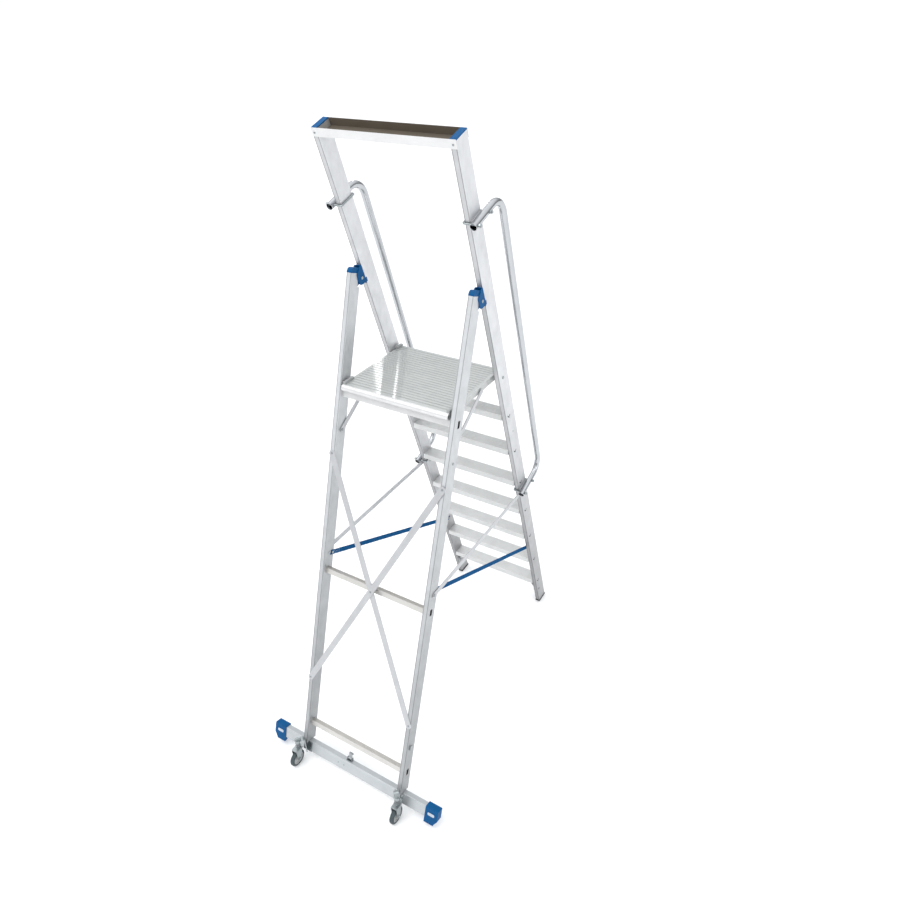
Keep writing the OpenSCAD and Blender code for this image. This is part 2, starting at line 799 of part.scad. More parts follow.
// Two ears and a pin on the traverse, for the fold latch
module latch_bracket() {
  top = traverse_size[1] / 2 - traverse_drop;
  ear = 2.5;
  color("silver") rear_frame() translate([latch_x, latch_pin[0], 0]) {
    translate([-15, -11, top]) cube([30, 22, 2]);
    for (x = [-15, 15 - ear]) translate([x + ear / 2, 0, 0]) along_x(ear)
      polygon([[-9, top], [9, top], [5, latch_pin[1] + 5], [-5, latch_pin[1] + 5]]);
    translate([0, 0, latch_pin[1]]) rod_x(latch_pin_r, -17, 17);
  }
}

// Small spring-steel hook that swings on the latch bracket
module fold_latch() {
  thick = 2.5;
  reach = 9;
  height = 26;
  color("slategray") rear_frame() translate([latch_x, latch_pin[0], latch_pin[1]])
    along_x(20) difference() {
      union() {
        circle(6);
        translate([-thick / 2, 0]) square([thick, height]);
        translate([-reach, height]) square([reach + thick / 2, thick]);
        translate([-reach, height - 8]) square([thick, 9]);
      }
      circle(latch_pin_r + running);
    }
}

// ---- casters

module caster_place() world() translate([caster_x, caster_y, 0]) children();

module caster_stem() {
  caster_place() {
    translate([0, 0, fork_top + gap]) cylinder(r = 13, h = 4);
    translate([0, 0, fork_top - 9]) cylinder(r = kingpin_r, h = bracket_top + 18 - fork_top);
    translate([0, 0, fork_top - 9]) cylinder(r = 9, h = 4);
    translate([0, 0, bracket_top + gap]) cylinder(r = 10, h = 7, $fn = 6);
  }
}

module caster_stem_left() color("silver") caster_stem();

module caster_stem_right() color("silver") right_side() caster_stem();

// Spring between the cup and the stem's flange, drawn as its separate coils
module caster_spring() {
  coils = 5;
  wire = 1.25;
  low = fork_top + 4 + 2 * gap + wire;
  high = bracket_top - bracket_plate - gap - wire;
  caster_place() for (i = [0 : coils - 1])
    translate([0, 0, low + i * (high - low) / (coils - 1)])
      rotate_extrude() translate([10, 0]) circle(wire);
}

module caster_spring_left() color("darkgray") caster_spring();

module caster_spring_right() color("darkgray") right_side() caster_spring();

// Fork with a top plate around the kingpin, two cheeks and the axle bolt
module caster_fork() {
  cheek = 2.5;
  inner = tyre_width / 2 + 3;
  caster_place() difference() {
    union() {
      translate([0, 0, fork_top - 4]) cylinder(r = 18, h = 4);
      translate([-inner - cheek, -12, fork_top - 4])
        cube([2 * (inner + cheek), caster_trail + 24, 4]);
      for (side = [-1, 1]) translate([side * (inner + cheek / 2) - cheek / 2, 0, 0])
        rotate([90, 0, 90]) linear_extrude(cheek) {
          polygon([[caster_trail - 10, wheel_r], [caster_trail + 10, wheel_r],
            [caster_trail + 12, fork_top - 4], [-12, fork_top - 4]]);
          translate([caster_trail, wheel_r]) circle(10);
        }
      translate([0, caster_trail, wheel_r]) {
        rod_x(axle_r, -inner - cheek - 2, inner + cheek + 2);
        hex_x(8, inner + cheek, inner + cheek + 4);
        hex_x(8, -inner - cheek - 4, -inner - cheek);
      }
    }
    translate([0, 0, fork_top - 10]) cylinder(r = kingpin_r + running, h = 20);
  }
}

module caster_fork_left() color("silver") caster_fork();

module caster_fork_right() color("silver") right_side() caster_fork();

module wheel_place() {
  caster_place() translate([0, caster_trail, wheel_r]) rotate([0, 90, 0]) children();
}

// Moulded wheel centre: hub sleeve, web and rim
module caster_hub() {
  half = tyre_width / 2;
  hub = half + 2;
  wheel_place() rotate_extrude($fn = 64) difference() {
    union() {
      translate([0, -hub]) square([14, 2 * hub]);
      translate([10, -5]) square([rim_r - 12, 10]);
      translate([rim_r - 5, -half + 2]) square([5, tyre_width - 4]);
    }
    translate([-1, -hub - 1]) square([axle_r + running + 1, 2 * hub + 2]);
  }
}

module caster_hub_left() color("whitesmoke") caster_hub();

module caster_hub_right() color("whitesmoke") right_side() caster_hub();

// Tyre with rounded shoulders, moulded on the rim
module caster_tyre() {
  half = tyre_width / 2;
  shoulder = 7;
  wheel_place() rotate_extrude($fn = 64) difference() {
    union() {
      translate([rim_r, -half]) square([wheel_r - shoulder - rim_r, tyre_width]);
      translate([wheel_r - shoulder, shoulder - half])
        square([shoulder, tyre_width - 2 * shoulder]);
      for (side = [-1, 1])
        translate([wheel_r - shoulder, side * (half - shoulder)]) circle(shoulder);
    }
    translate([rim_r - shoulder, -half]) square([shoulder, tyre_width]);
  }
}

module caster_tyre_left() color("slategray") caster_tyre();

module caster_tyre_right() color("slategray") right_side() caster_tyre();

front_stile_left();
front_stile_right();
front_feet();
tread(1);  // tread_1
tread(2);  // tread_2
tread(3);  // tread_3
tread(4);  // tread_4
tread(5);  // tread_5
tread(6);  // tread_6
tread(7);  // tread_7
tread_swages();
tread_braces();
tread_brace_bolts();
stile_caps();
tool_tray();
front_rivets();
handrail_left();
handrail_right();
rail_clamp_pads();
rail_u_bolts();
rail_cap_nuts();
hinge_brackets();
hinge_pins();
front_pivot_bolts();
platform_deck();
platform_nosing();
platform_side_rails();
platform_corners();
rear_stile_left();
rear_stile_right();
hinge_caps();
rung(0, rung_size);  // rung_top
rung(1, rung_slim);  // rung_middle
rung(2, rung_slim);  // rung_bottom
brace_bar(1, rear_back);  // x_brace_bar_front
brace_bar(-1, rear_back + 3);  // x_brace_bar_rear
rear_rivets();
traverse();
traverse_feet();
caster_brackets();
latch_bracket();
stay_pivot_pins();
stay_clips();
platform_stay_left();
platform_stay_right();
side_stay_left();
side_stay_right();
safety_strap_left();
safety_strap_right();
fold_latch();
caster_stem_left();
caster_stem_right();
caster_spring_left();
caster_spring_right();
caster_fork_left();
caster_fork_right();
caster_hub_left();
caster_hub_right();
caster_tyre_left();
caster_tyre_right();
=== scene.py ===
"""Rolling platform stepladder: materials, fine detail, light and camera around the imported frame.

Metres, in the part's own frame: x across the ladder, y towards the rear section and z up.
"""
import math

import bmesh
import bpy
from mathutils import Euler, Matrix, Vector


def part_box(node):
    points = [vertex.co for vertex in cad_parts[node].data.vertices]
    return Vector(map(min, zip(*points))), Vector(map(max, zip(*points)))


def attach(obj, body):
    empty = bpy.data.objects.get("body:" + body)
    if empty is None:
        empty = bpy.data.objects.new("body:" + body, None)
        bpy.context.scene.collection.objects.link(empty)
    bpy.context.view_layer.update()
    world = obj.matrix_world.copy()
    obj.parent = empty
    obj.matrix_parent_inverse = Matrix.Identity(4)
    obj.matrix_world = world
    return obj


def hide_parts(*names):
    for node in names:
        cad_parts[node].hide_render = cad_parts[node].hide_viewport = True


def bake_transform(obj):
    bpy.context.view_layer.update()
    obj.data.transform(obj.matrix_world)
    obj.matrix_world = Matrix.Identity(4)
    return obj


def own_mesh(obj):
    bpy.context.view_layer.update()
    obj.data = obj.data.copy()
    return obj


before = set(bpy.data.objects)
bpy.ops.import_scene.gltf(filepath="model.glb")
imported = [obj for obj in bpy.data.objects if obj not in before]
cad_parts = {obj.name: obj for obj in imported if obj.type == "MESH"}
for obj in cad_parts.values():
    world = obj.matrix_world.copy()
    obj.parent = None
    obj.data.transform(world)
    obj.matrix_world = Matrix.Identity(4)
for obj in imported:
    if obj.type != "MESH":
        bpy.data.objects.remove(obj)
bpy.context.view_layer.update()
scene = bpy.context.scene

# How far the front and rear stiles lean from upright.
FRONT_LEAN = math.radians(18.8)
REAR_LEAN = math.radians(18.0)

# ---------------------------------------------------------------- camera and light

CAMERA_AZIMUTH = math.radians(210.95)
CAMERA_ELEVATION = math.radians(33.35)
CAMERA_ROLL = math.radians(-1.221)
CAMERA_TARGET = Vector((-0.0264, -0.2058, 1.3931))
CAMERA_DISTANCE = 3.4838
SENSOR_WIDTH = 36
FOCAL_LENGTH = 28.33
CAMERA_SHIFT = (-0.0026, 0.0046)


def make_camera():
    data = bpy.data.cameras.new("camera")
    data.sensor_width = SENSOR_WIDTH
    data.lens = FOCAL_LENGTH
    data.shift_x, data.shift_y = CAMERA_SHIFT
    camera = bpy.data.objects.new("camera", data)
    scene.collection.objects.link(camera)
    turn = Euler((math.pi / 2 - CAMERA_ELEVATION, 0, CAMERA_AZIMUTH)).to_matrix()
    roll = Matrix.Rotation(CAMERA_ROLL, 3, "Z")
    back = turn @ Vector((0, 0, 1))
    place = CAMERA_TARGET + CAMERA_DISTANCE * back
    camera.matrix_world = Matrix.Translation(place) @ (turn @ roll).to_4x4()
    scene.camera = camera


def area_light(name, at, towards, size, power):
    """A white rectangular light at one place, turned to face another."""
    data = bpy.data.lights.new(name, "AREA")
    data.shape = "RECTANGLE"
    data.size, data.size_y = size
    data.energy = power
    light = bpy.data.objects.new(name, data)
    scene.collection.objects.link(light)
    light.location = at
    light.rotation_euler = (Vector(towards) - Vector(at)).to_track_quat("-Z", "Y").to_euler()


def make_light():
    """A studio dome, bright overhead and dimmer low down, with a key, a side light and two strips.

    The dome is a flat white below the horizon. The strips light the bands on the platform's sheen.
    """
    world = bpy.data.worlds.new("studio")
    scene.world = world
    world.use_nodes = True
    nodes, links = world.node_tree.nodes, world.node_tree.links
    nodes.clear()
    out = nodes.new("ShaderNodeOutputWorld")
    background = nodes.new("ShaderNodeBackground")
    coords = nodes.new("ShaderNodeTexCoord")
    split = nodes.new("ShaderNodeSeparateXYZ")
    links.new(coords.outputs["Generated"], split.inputs[0])

    def spread(axis, low, high, from_low, from_high):
        """Runs smoothly from low to high as an axis of the direction goes between two values."""
        node = nodes.new("ShaderNodeMapRange")
        node.interpolation_type = "SMOOTHSTEP"
        node.inputs["From Min"].default_value = from_low
        node.inputs["From Max"].default_value = from_high
        node.inputs["To Min"].default_value = low
        node.inputs["To Max"].default_value = high
        links.new(split.outputs[axis], node.inputs["Value"])
        return node.outputs["Result"]

    def times(a, b):
        node = nodes.new("ShaderNodeMath")
        node.operation = "MULTIPLY"
        links.new(a, node.inputs[0])
        links.new(b, node.inputs[1])
        return node.outputs[0]

    height = spread("Z", 0.42, 1.62, 0.1, 0.8)
    depth = spread("Y", 0.80, 1.08, -0.8, 0.8)
    width = spread("X", 0.92, 1.12, -0.8, 0.8)
    sky = times(times(height, depth), width)
    blend = nodes.new("ShaderNodeMix")
    blend.data_type = "FLOAT"
    links.new(spread("Z", 0.0, 1.0, 0.02, 0.06), blend.inputs["Factor"])
    blend.inputs["A"].default_value = 1.05
    links.new(sky, blend.inputs["B"])
    background.inputs["Color"].default_value = (0.97, 0.985, 1, 1)
    links.new(blend.outputs["Result"], background.inputs["Strength"])
    links.new(background.outputs[0], out.inputs[0])
    area_light("key", (0.6, 2.6, 6.4), (0, 0, 1.4), (3.0, 2.4), 75)
    area_light("side", (-4.5, 1.0, 2.6), (0, 0, 1.4), (2.6, 2.6), 34)
    low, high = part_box("platform_deck")
    deck = Vector(((low[0] + high[0]) / 2, (low[1] + high[1]) / 2, high[2]))
    strip_height = 1.3
    for place, breadth, power in (((2.49, -2.95, 1.95), 0.085, 1.3), ((2.365, -3.03, 1.95), 0.10, 1.5)):
        area_light("strip", deck + Vector(place), deck, (breadth, strip_height), power)


def make_floor():
    mesh = bpy.data.meshes.new("floor")
    half = 150.0
    corners = [(-half, -half, 0), (half, -half, 0), (half, half, 0), (-half, half, 0)]
    mesh.from_pydata(corners, [], [(0, 1, 2, 3)])
    floor = bpy.data.objects.new("floor", mesh)
    scene.collection.objects.link(floor)
    material = bpy.data.materials.new("floor")
    material.use_nodes = True
    shader = material.node_tree.nodes["Principled BSDF"]
    shader.inputs["Base Color"].default_value = (0.97, 0.97, 0.97, 1)
    shader.inputs["Roughness"].default_value = 0.95
    shader.inputs["Specular IOR Level"].default_value = 0.1
    mesh.materials.append(material)


# ---------------------------------------------------------------- materials


class Look:
    """A Principled material whose colour, roughness and bump come from noises and object coordinates."""

    def __init__(self, name, colour, roughness, metallic=0.0):
        self.material = bpy.data.materials.new(name)
        self.material.use_nodes = True
        self.nodes = self.material.node_tree.nodes
        self.links = self.material.node_tree.links
        self.shader = self.nodes["Principled BSDF"]
        self.colour = (*colour, 1)
        self.shader.inputs["Base Color"].default_value = self.colour
        self.shader.inputs["Roughness"].default_value = roughness
        self.shader.inputs["Metallic"].default_value = metallic
        self.roughness = roughness
        self.normal = None

    def add(self, kind, **values):
        """A new node with some of its properties set."""
        node = self.nodes.new(kind)
        for key, value in values.items():
            setattr(node, key, value)
        return node

    def coordinates(self, lean=0.0, stretch=(1, 1, 1)):
        """Object coordinates turned into a leaning frame and stretched."""
        coords = self.add("ShaderNodeTexCoord")
        turn = self.add("ShaderNodeMapping")
        turn.inputs["Rotation"].default_value = (lean, 0, 0)
        scale = self.add("ShaderNodeMapping")
        scale.inputs["Scale"].default_value = stretch
        self.links.new(coords.outputs["Object"], turn.inputs["Vector"])
        self.links.new(turn.outputs["Vector"], scale.inputs["Vector"])
        return scale.outputs["Vector"]

    def noise(self, vector, scale=1.0, detail=3.0, rough=0.5):
        node = self.add("ShaderNodeTexNoise")
        node.inputs["Scale"].default_value = scale
        node.inputs["Detail"].default_value = detail
        node.inputs["Roughness"].default_value = rough
        self.links.new(vector, node.inputs["Vector"])
        return node.outputs["Fac"]

    def spread(self, value, low, high, from_low=0.3, from_high=0.7):
        """Runs from low to high as a value goes between two others, by default a noise's usual range."""
        node = self.add("ShaderNodeMapRange")
        node.inputs["From Min"].default_value = from_low
        node.inputs["From Max"].default_value = from_high
        node.inputs["To Min"].default_value = low
        node.inputs["To Max"].default_value = high
        self.links.new(value, node.inputs["Value"])
        return node.outputs["Result"]

    def grooves(self, vector, axis, spacing, share=0.08):
        """1 on the surface and 0 in narrow grooves across an axis, one each spacing metres."""
        split = self.add("ShaderNodeSeparateXYZ")
        self.links.new(vector, split.inputs[0])
        wave = self.add("ShaderNodeMath", operation="PINGPONG")
        wave.inputs[1].default_value = spacing / 2
        self.links.new(split.outputs[axis], wave.inputs[0])
        return self.spread(wave.outputs[0], 0, 1, 0, spacing * share)

    def vary_colour(self, value, dark, light):
        """Colour runs from dark to light times the base colour as value goes from 0.3 to 0.7."""
        mix = self.add("ShaderNodeMix", data_type="RGBA")
        mix.inputs["A"].default_value = tuple(min(1, c * dark) for c in self.colour[:3]) + (1,)
        mix.inputs["B"].default_value = tuple(min(1, c * light) for c in self.colour[:3]) + (1,)
        self.links.new(self.spread(value, 0, 1), mix.inputs["Factor"])
        self.links.new(mix.outputs["Result"], self.shader.inputs["Base Color"])

    def paint_low_shade_and_mottle(self, low_shade):
        """Multiplies the colour by worn low down, a painted shade for the darker floor reflected there,
        rising to 1 at the platform's height, with random mottling.
        """
        low, high = 0.5, 1.9
        # Painted shade: the colour darkens from the platform's height towards the floor.
        height = self.spread(self.object_axis("Z"), low_shade, 1.0, low, high)
        mottle = self.spread(self.noise(self.coordinates(0.0, (1, 1, 0.6)), 28.0, 4.0, 0.6), 0.93, 1.04)
        level = self.add("ShaderNodeMath", operation="MULTIPLY")
        self.links.new(height, level.inputs[0])
        self.links.new(mottle, level.inputs[1])
        self.shade(level.outputs[0])

    def shade(self, value):
        """Multiplies the colour by a value."""
        source = self.shader.inputs["Base Color"].links[0].from_socket
        scale = self.add("ShaderNodeVectorMath", operation="SCALE")
        self.links.new(source, scale.inputs[0])
        self.links.new(value, scale.inputs["Scale"])
        self.links.new(scale.outputs["Vector"], self.shader.inputs["Base Color"])

    def object_axis(self, axis):
        """One of the object coordinates."""
        coords = self.add("ShaderNodeTexCoord")
        split = self.add("ShaderNodeSeparateXYZ")
        self.links.new(coords.outputs["Object"], split.inputs[0])
        return split.outputs[axis]

    def distance(self, value, place):
        """How far a value is from a place."""
        away = self.add("ShaderNodeMath", operation="SUBTRACT")
        away.inputs[1].default_value = place
        self.links.new(value, away.inputs[0])
        size = self.add("ShaderNodeMath", operation="ABSOLUTE")
        self.links.new(away.outputs[0], size.inputs[0])
        return size.outputs[0]

    def paint_stile_face_shade(self, node, narrow, side, line):
        """Painted shade for a pair of stiles: tones for their narrow faces and side faces, set by where the
        light falls, and painted dark edge reflections in the fine lines beside their edges.
        """
        skin, softness = 0.0006, 0.0008
        line_inset, line_half, line_fade = 0.003, 0.0012, 0.001
        low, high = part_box(node)
        half = (high[0] - low[0]) / 2
        from_middle = self.distance(self.object_axis("X"), 0.0)
        off = self.distance(from_middle, (low[0] + high[0]) / 2)
        # Painted shade: the narrow faces and the side faces get different tones, as the light falls on
        # them.
        self.shade(self.spread(off, narrow, side, half - skin - softness, half - skin))
        # Painted reflection: thin dark lines beside each edge, where a rounded corner reflects something
        # dark.
        from_line = self.distance(off, half - line_inset)
        self.shade(self.spread(from_line, line, 1.0, line_half, line_half + line_fade))

    def paint_groove_shade(self, top, depth, tone):
        """Painted shade on the floors of the grooves cut down from a level top, darker where the groove
        walls shade them.
        """
        # Painted shade: the groove floors are darkened below the top.
        self.shade(self.spread(self.object_axis("Z"), tone, 1.0, top - depth, top - depth / 5))

    def vary_roughness(self, value, amount):
        """Roughness runs by amount to either side of the material's own."""
        rough = self.spread(value, self.roughness - amount, self.roughness + amount)
        self.links.new(rough, self.shader.inputs["Roughness"])

    def bump(self, value, distance):
        """Adds relief of a height in metres to the relief that is there already."""
        node = self.add("ShaderNodeBump")
        node.inputs["Strength"].default_value = 1.0
        node.inputs["Distance"].default_value = distance
        self.links.new(value, node.inputs["Height"])
        if self.normal:
            self.links.new(self.normal, node.inputs["Normal"])
        self.normal = node.outputs["Normal"]
        self.links.new(self.normal, self.shader.inputs["Normal"])


def metal(name, colour, roughness, lean=0.0, along="z", grain=0.00004, metallic=1.0, lines=None,
          low_shade=None, faces=None, grooved=None):
    """Extruded or rolled metal: a fine grain along one axis of its section, with soft marks.

    lines is the spacing of shallow extruded lines across its depth, in metres, and worn the share of
    its brightness that is left near the floor, a painted shade for the darker floor reflected there. faces
    is a stile's node and the painted shade tones of its narrow faces and side faces and of its painted dark
    edge reflections, and grooved a node with a grooved top, the depth of its grooves in metres and the
    painted shade tone of their floors.
    """
    look = Look(name, colour, roughness, metallic)
    fine, slow = 700.0, 7.0
    stretch = {"x": (slow, fine, fine), "y": (fine, slow, fine), "z": (fine, fine, slow)}[along]
    fine_lines = look.noise(look.coordinates(lean, stretch), 1.0, 2.0)
    marks = look.noise(look.coordinates(lean), 14.0, 5.0, 0.6)
    look.vary_roughness(fine_lines, 0.07)
    look.vary_colour(marks, 0.94, 1.04)
    # Painted shade low down on the stiles.
    if low_shade:
        look.paint_low_shade_and_mottle(low_shade)
    # Painted shade on the stile faces and painted dark reflections beside their edges.
    if faces:
        look.paint_stile_face_shade(*faces)
    # Painted shade in the floors of the deck's grooves.
    if grooved:
        node, depth, tone = grooved
        look.paint_groove_shade(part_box(node)[1][2], depth, tone)
    look.bump(fine_lines, grain)
    if lines:
        line_depth = 0.0004
        look.bump(look.grooves(look.coordinates(lean), "Y", lines), line_depth)
    return look.material


def lacquer(material, weight, roughness, ior):
    """Adds a clear coat, which gives a sheen of its own."""
    shader = material.node_tree.nodes["Principled BSDF"]
    shader.inputs["Coat Weight"].default_value = weight
    shader.inputs["Coat Roughness"].default_value = roughness
    shader.inputs["Coat IOR"].default_value = ior


def moulded(name, colour, roughness, texture=0.00008, specular=0.4):
    """Moulded plastic or rubber with a fine skin texture."""
    look = Look(name, colour, roughness)
    look.shader.inputs["Specular IOR Level"].default_value = specular
    skin = look.noise(look.coordinates(), 1400.0, 2.0)
    patches = look.noise(look.coordinates(), 22.0, 4.0)
    look.vary_colour(patches, 0.9, 1.08)
    look.vary_roughness(patches, 0.06)
    look.bump(skin, texture)
    return look.material


def webbing(name, colour, roughness):
    """Woven polyester webbing: ribs and yarns from a UV map in metres, along the strap and across it."""
    look = Look(name, colour, roughness)
    look.shader.inputs["Specular IOR Level"].default_value = 0.1
    coords = look.add("ShaderNodeTexCoord")
    weave = look.add("ShaderNodeMath", operation="MULTIPLY")
    for place, (direction, scale) in enumerate((("X", 150.0), ("Y", 260.0))):
        wave = look.add("ShaderNodeTexWave", wave_type="BANDS", bands_direction=direction)
        wave.inputs["Scale"].default_value = scale
        look.links.new(coords.outputs["UV"], wave.inputs["Vector"])
        look.links.new(wave.outputs["Fac"], weave.inputs[place])
    look.vary_colour(weave.outputs[0], 0.72, 1.25)
    look.bump(weave.outputs[0], 0.0003)
    return look.material


# Both stiles carry painted shade: darker towards the floor, different tones on their narrow and side faces,
# and dark edge reflections.
FRONT_STILE = metal("front_stile_aluminium", (0.68, 0.685, 0.70), 0.42, FRONT_LEAN, metallic=0.6,
                    lines=0.013, low_shade=0.56, faces=("front_stile_left", 0.78, 1.0, 0.55))
REAR_STILE = metal("rear_stile_aluminium", (0.66, 0.675, 0.69), 0.42, -REAR_LEAN, metallic=0.6,
                   lines=0.011, low_shade=0.62, faces=("rear_stile_left", 1.0, 0.86, 0.55))
TREAD = metal("tread_aluminium", (0.64, 0.645, 0.64), 0.42, 0.0, "x", metallic=0.5)
RUNG = metal("rung_aluminium", (0.60, 0.585, 0.56), 0.34, 0.0, "x", metallic=0.75)
TRAVERSE = metal("traverse_aluminium", (0.50, 0.525, 0.54), 0.40, 0.0, "x", metallic=0.6)
BRACE = metal("brace_aluminium", (0.50, 0.505, 0.52), 0.42, 0.0, "x", metallic=0.5)
# The deck's groove floors carry painted shade.
PLATFORM = metal("platform_aluminium", (0.46, 0.475, 0.465), 0.60, 0.0, "x", 0.00001, metallic=0.3,
                 grooved=("platform_deck", 0.0015, 0.84))
lacquer(PLATFORM, 1.0, 0.07, 2.0)
BRIGHT = metal("bright_aluminium", (0.70, 0.70, 0.70), 0.36, 0.0, "x", metallic=0.5)
HANDRAIL = metal("handrail_aluminium", (0.49, 0.505, 0.525), 0.16, FRONT_LEAN, metallic=1.0)
ZINC = metal("zinc_plate", (0.34, 0.37, 0.38), 0.30, 0.0, "z", 0.00002)
SPRING = metal("spring_steel", (0.35, 0.37, 0.38), 0.30, 0.0, "z", 0.00002)
SWAGE = metal("swage_marks", (0.035, 0.04, 0.045), 0.7, 0.0, "x", metallic=0.1)
TRAY_LINING = metal("tray_lining", (0.17, 0.145, 0.115), 0.40, 0.0, "x", metallic=0.4)
BLUE = moulded("blue_plastic", (0.001, 0.078, 0.225), 0.5, specular=0.12)
GREY = moulded("grey_plastic", (0.33, 0.34, 0.34), 0.5)
RUBBER = moulded("foot_rubber", (0.03, 0.033, 0.036), 0.75)
HUB = moulded("wheel_plastic", (0.40, 0.41, 0.41), 0.45)
TYRE = moulded("tyre_rubber", (0.05, 0.068, 0.075), 0.65)
LABEL = moulded("blank_label", (0.50, 0.55, 0.62), 0.4, 0.00002)
WEBBING = webbing("strap_webbing", (0.001, 0.088, 0.25), 0.8)

FINISHES = {
    FRONT_STILE: ("front_stile_left", "front_stile_right"),
    REAR_STILE: ("rear_stile_left", "rear_stile_right"),
    TREAD: ("tread_1", "tread_2", "tread_3", "tread_4", "tread_5", "tread_6", "tread_7"),
    RUNG: ("rung_middle", "rung_bottom"),
    TRAVERSE: ("traverse",),
    SWAGE: ("tread_swages",),
    PLATFORM: ("platform_deck", "platform_side_rails"),
    BRACE: ("x_brace_bar_front", "x_brace_bar_rear", "platform_stay_left", "platform_stay_right",
            "side_stay_left", "side_stay_right", "tread_braces", "rail_clamp_pads"),
    BRIGHT: ("platform_nosing", "tool_tray", "rung_top"),
    HANDRAIL: ("handrail_left", "handrail_right"),
    ZINC: ("tread_brace_bolts", "latch_bracket", "front_rivets", "rail_u_bolts", "rail_cap_nuts",
           "hinge_pins", "front_pivot_bolts", "rear_rivets", "caster_brackets", "stay_pivot_pins",
           "stay_clips", "caster_stem_left", "caster_stem_right", "caster_fork_left",
           "caster_fork_right"),
    SPRING: ("caster_spring_left", "caster_spring_right", "fold_latch"),
    BLUE: ("stile_caps", "hinge_brackets", "hinge_caps", "traverse_feet"),
    GREY: ("platform_corners",),
    RUBBER: ("front_feet",),
    HUB: ("caster_hub_left", "caster_hub_right"),
    TYRE: ("caster_tyre_left", "caster_tyre_right"),
}


def finish_cad_nodes():
    """Gives every CAD node that stays in view its material."""
    for material, names in FINISHES.items():
        for name in names:
            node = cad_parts[name]
            node.data.materials.clear()
            node.data.materials.append(material)


# ---------------------------------------------------------------- detail


def leaning_box(node, lean):
    """Lowest and highest corner of a CAD node in a frame turned about X by lean, and that turn."""
    turn = Matrix.Rotation(lean, 3, "X")
    points = [turn @ v.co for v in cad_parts[node].data.vertices]
    low = Vector(min(p[i] for p in points) for i in range(3))
    high = Vector(max(p[i] for p in points) for i in range(3))
    return low, high, turn.transposed()


def finish_mesh(name, build, material, body=None, turn=None, replaces=()):
    """Makes a piece of the bmesh build, in place of the CAD nodes it replaces, and rides it on its body."""
    mesh = bpy.data.meshes.new(name)
    if turn is not None:
        bmesh.ops.transform(build, matrix=turn.to_4x4(), verts=build.verts)
    bmesh.ops.recalc_face_normals(build, faces=build.faces)
    build.to_mesh(mesh)
    build.free()
    mesh.materials.append(material)
    piece = bpy.data.objects.new(name, mesh)
    scene.collection.objects.link(piece)
    if replaces:
        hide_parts(*replaces)
    if body:
        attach(piece, body)
    return piece


def add_prism(build, outline, push):
    """A flat outline of points, pushed along a vector."""
    start = [build.verts.new(point) for point in outline]
    face = build.faces.new(start)
    out = bmesh.ops.extrude_face_region(build, geom=[face])
    moved = [g for g in out["geom"] if isinstance(g, bmesh.types.BMVert)]
    bmesh.ops.translate(build, vec=push, verts=moved)
    return start + moved


def round_outline(width, height, radius, steps=5):
    """Points at y = 0 of a rectangle with round corners, about the origin."""
    points = []
    for sx, sz, first in ((1, 1, 0), (-1, 1, 90), (-1, -1, 180), (1, -1, 270)):
        for i in range(steps + 1):
            angle = math.radians(first + 90 * i / steps)
            x = sx * (width / 2 - radius) + radius * math.cos(angle)
            z = sz * (height / 2 - radius) + radius * math.sin(angle)
            points.append((x, 0, z))
    return points


def skin_rings(build, rings):
    """Smooth sides between neighbouring rings of vertices, and a flat end at each end."""
    count = len(rings[0])
    for ring, after in zip(rings, rings[1:]):
        for j in range(count):
            k = (j + 1) % count
            build.faces.new((ring[j], ring[k], after[k], after[j])).smooth = True
    build.faces.new(rings[0])
    build.faces.new(list(reversed(rings[-1])))


def make_tray_lining():
    """A dark thin lining over the tray's floor and walls."""
    low, high, turn = leaning_box("tool_tray", FRONT_LEAN)
    caps_high = leaning_box("stile_caps", FRONT_LEAN)[1]
    wall, thick, stile, gap, below_caps = 0.002, 0.0008, 0.0255, 0.0001, 0.0006
    x0, x1 = low.x + stile, high.x - stile
    y0, y1 = low.y + wall + gap, high.y - wall - gap
    z0, z1 = low.z + wall + gap, caps_high.z - below_caps
    section = [(y0, z1), (y0, z0), (y1, z0), (y1, z1), (y1 - thick, z1), (y1 - thick, z0 + thick),
               (y0 + thick, z0 + thick), (y0 + thick, z1)]
    build = bmesh.new()
    add_prism(build, [(x0, y, z) for y, z in section], (x1 - x0, 0, 0))
    piece = finish_mesh("tray_lining", build, TRAY_LINING, "front_section", turn)
    add_bevel(piece, 0.0003)


def add_bevel(piece, width):
    bevel = piece.modifiers.new("bevel", "BEVEL")
    bevel.width = width
    bevel.segments = 2
    bevel.limit_method = "ANGLE"
    bevel.angle_limit = math.radians(40)
    bevel.use_clamp_overlap = True


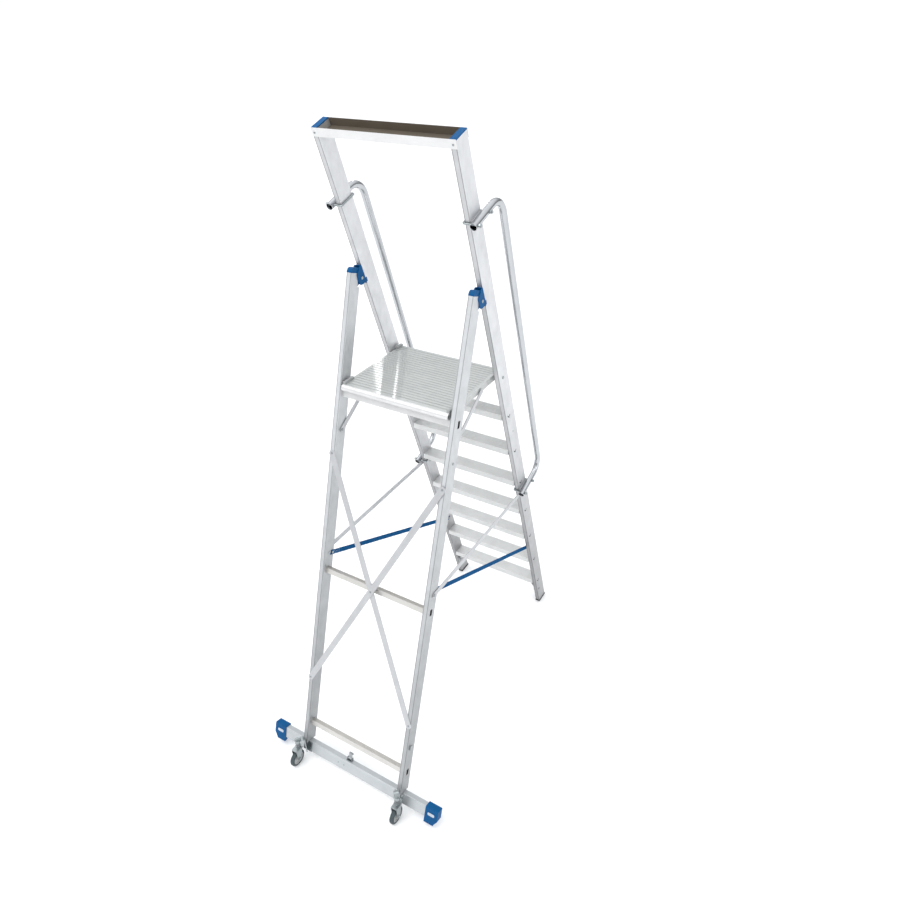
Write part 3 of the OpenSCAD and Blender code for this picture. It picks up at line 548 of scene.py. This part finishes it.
def make_strap(side):
    """A flat webbing strap with doubled, box-stitched ends, across the fold."""
    name = "safety_strap_" + side
    points = [v.co.copy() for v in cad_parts[name].data.vertices]
    low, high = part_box(name)
    end_reach = 0.03
    front_end = [p for p in points if p.y < low[1] + end_reach]
    rear_end = [p for p in points if p.y > high[1] - end_reach]
    first = sum(front_end, Vector()) / len(front_end)
    last = sum(rear_end, Vector()) / len(rear_end)
    along = (last - first).normalized()
    across = Vector((1, 0, 0)).cross(along).normalized()
    span_low = min(p.dot(along) for p in points)
    span_high = max(p.dot(along) for p in points)
    level = (min(p.dot(across) for p in points) + max(p.dot(across) for p in points)) / 2
    x_mid = (low[0] + high[0]) / 2
    half, edge, steps = 0.0125, 0.0016, 90
    single, doubled, doubled_length = 0.0006, 0.0009, 0.07
    build = bmesh.new()
    uv = build.loops.layers.uv.new("UVMap")
    rings = []
    for i in range(steps + 1):
        run = (span_high - span_low) * i / steps
        from_end = min(run, span_high - span_low - run)
        thick = doubled if from_end < doubled_length else single
        section = ((-half, 0), (-half + edge, -thick), (half - edge, -thick), (half, 0),
                   (half - edge, thick), (-half + edge, thick))
        ring = []
        for u, v in section:
            place = along * (span_low + run) + across * (level + u)
            ring.append(build.verts.new((x_mid + v, place.y, place.z)))
        rings.append(ring)
    skin_rings(build, rings)
    for face in build.faces:
        for loop in face.loops:
            co = loop.vert.co
            loop[uv].uv = (co.dot(along) - span_low, co.dot(across) - level + half)
    strap = finish_mesh("strap_" + side, build, WEBBING, replaces=(name,))
    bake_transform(strap)
    for body, end_name, origin, inward in (("front_section", "front", span_low, along),
                                           ("rear_section", "rear", span_high, -along)):
        corner = along * origin + across * level
        build = make_stitches(Vector((x_mid, corner.y, corner.z)), inward, across)
        finish_mesh("strap_stitches_" + end_name + "_" + side, build, LABEL, body)


def make_stitches(end, inward, across):
    """Rows of raised stitches that box and cross a strap's doubled end, on both of its sides."""
    first, last, half = 0.026, 0.066, 0.0095
    pitch, radius, stretch, flatten, proud = 0.0032, 0.0006, 0.9, 0.5, 0.0009
    rows = [((first, -half), (last, -half)), ((first, half), (last, half)),
            ((first, -half), (first, half)), ((last, -half), (last, half)),
            ((first, -half), (last, half)), ((first, half), (last, -half))]
    build = bmesh.new()
    for (a0, b0), (a1, b1) in rows:
        count = max(3, int(math.hypot(a1 - a0, b1 - b0) / pitch))
        direction = (inward * (a1 - a0) + across * (b1 - b0)).normalized()
        for i in range(count):
            t = (i + 0.5) / count
            place = end + inward * (a0 + (a1 - a0) * t) + across * (b0 + (b1 - b0) * t)
            for face_side in (-1, 1):
                made = bmesh.ops.create_icosphere(build, subdivisions=1, radius=radius)["verts"]
                for v in made:
                    v.co += direction * (v.co.dot(direction) * stretch)
                    v.co.x *= flatten
                    v.co += place + Vector((face_side * proud, 0, 0))
    return build


def make_spring(side):
    """A coil spring with closed ends, between the caster's cup and the stem's flange."""
    name = "caster_spring_" + side
    low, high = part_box(name)
    wire, turns, closed_turns, steps, around = 0.00125, 5.5, 0.75, 132, 8
    x, y = (low[0] + high[0]) / 2, (low[1] + high[1]) / 2
    radius = (high[0] - low[0]) / 2 - wire
    z0, z1 = low[2] + wire, high[2] - wire
    up = Vector((0, 0, 1))
    build = bmesh.new()
    rings = []
    for i in range(steps + 1):
        turn = turns * i / steps
        angle = 2 * math.pi * turn
        lift = min(1, max(0, (turn - closed_turns) / (turns - 2 * closed_turns)))
        out = Vector((math.cos(angle), math.sin(angle), 0))
        centre = Vector((x, y, z0 + (z1 - z0) * lift)) + radius * out
        ring = []
        for j in range(around):
            a = 2 * math.pi * j / around
            ring.append(build.verts.new(centre + wire * (math.cos(a) * out + math.sin(a) * up)))
        rings.append(ring)
    skin_rings(build, rings)
    spring = finish_mesh("spring_" + side, build, SPRING, "rear_section", replaces=(name,))
    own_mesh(spring)


def make_labels():
    """Blank raised patches on the blue traverse feet."""
    width, height, radius, thick = 0.036, 0.016, 0.006, 0.0006
    from_end, from_top, sunk = 0.036, 0.034, 0.0001
    high, turn = leaning_box("traverse_feet", -REAR_LEAN)[1:]
    for sign, side in ((1, "left"), (-1, "right")):
        build = bmesh.new()
        verts = add_prism(build, round_outline(width, height, radius), (0, thick, 0))
        place = Vector((sign * (high.x - from_end), high.y - sunk, high.z - from_top))
        bmesh.ops.translate(build, vec=place, verts=verts)
        finish_mesh("foot_label_" + side, build, LABEL, "rear_section", turn)


def bevel_cad_nodes():
    """Small rounds on the edges of moulded pieces and finer ones on the flat bars."""
    for name in ("tool_tray", "stile_caps", "traverse_feet", "platform_corners", "front_feet", "hinge_caps",
                 "tread_braces", "fold_latch", "hinge_brackets"):
        add_bevel(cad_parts[name], 0.0008)
    for name in ("x_brace_bar_front", "x_brace_bar_rear", "side_stay_left", "side_stay_right",
                 "platform_stay_left", "platform_stay_right"):
        add_bevel(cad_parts[name], 0.0004)


make_camera()
make_light()
make_floor()
finish_cad_nodes()
bevel_cad_nodes()
make_tray_lining()
for ladder_side in ("left", "right"):
    make_strap(ladder_side)
    make_spring(ladder_side)
make_labels()
scene.view_settings.view_transform = "Standard"
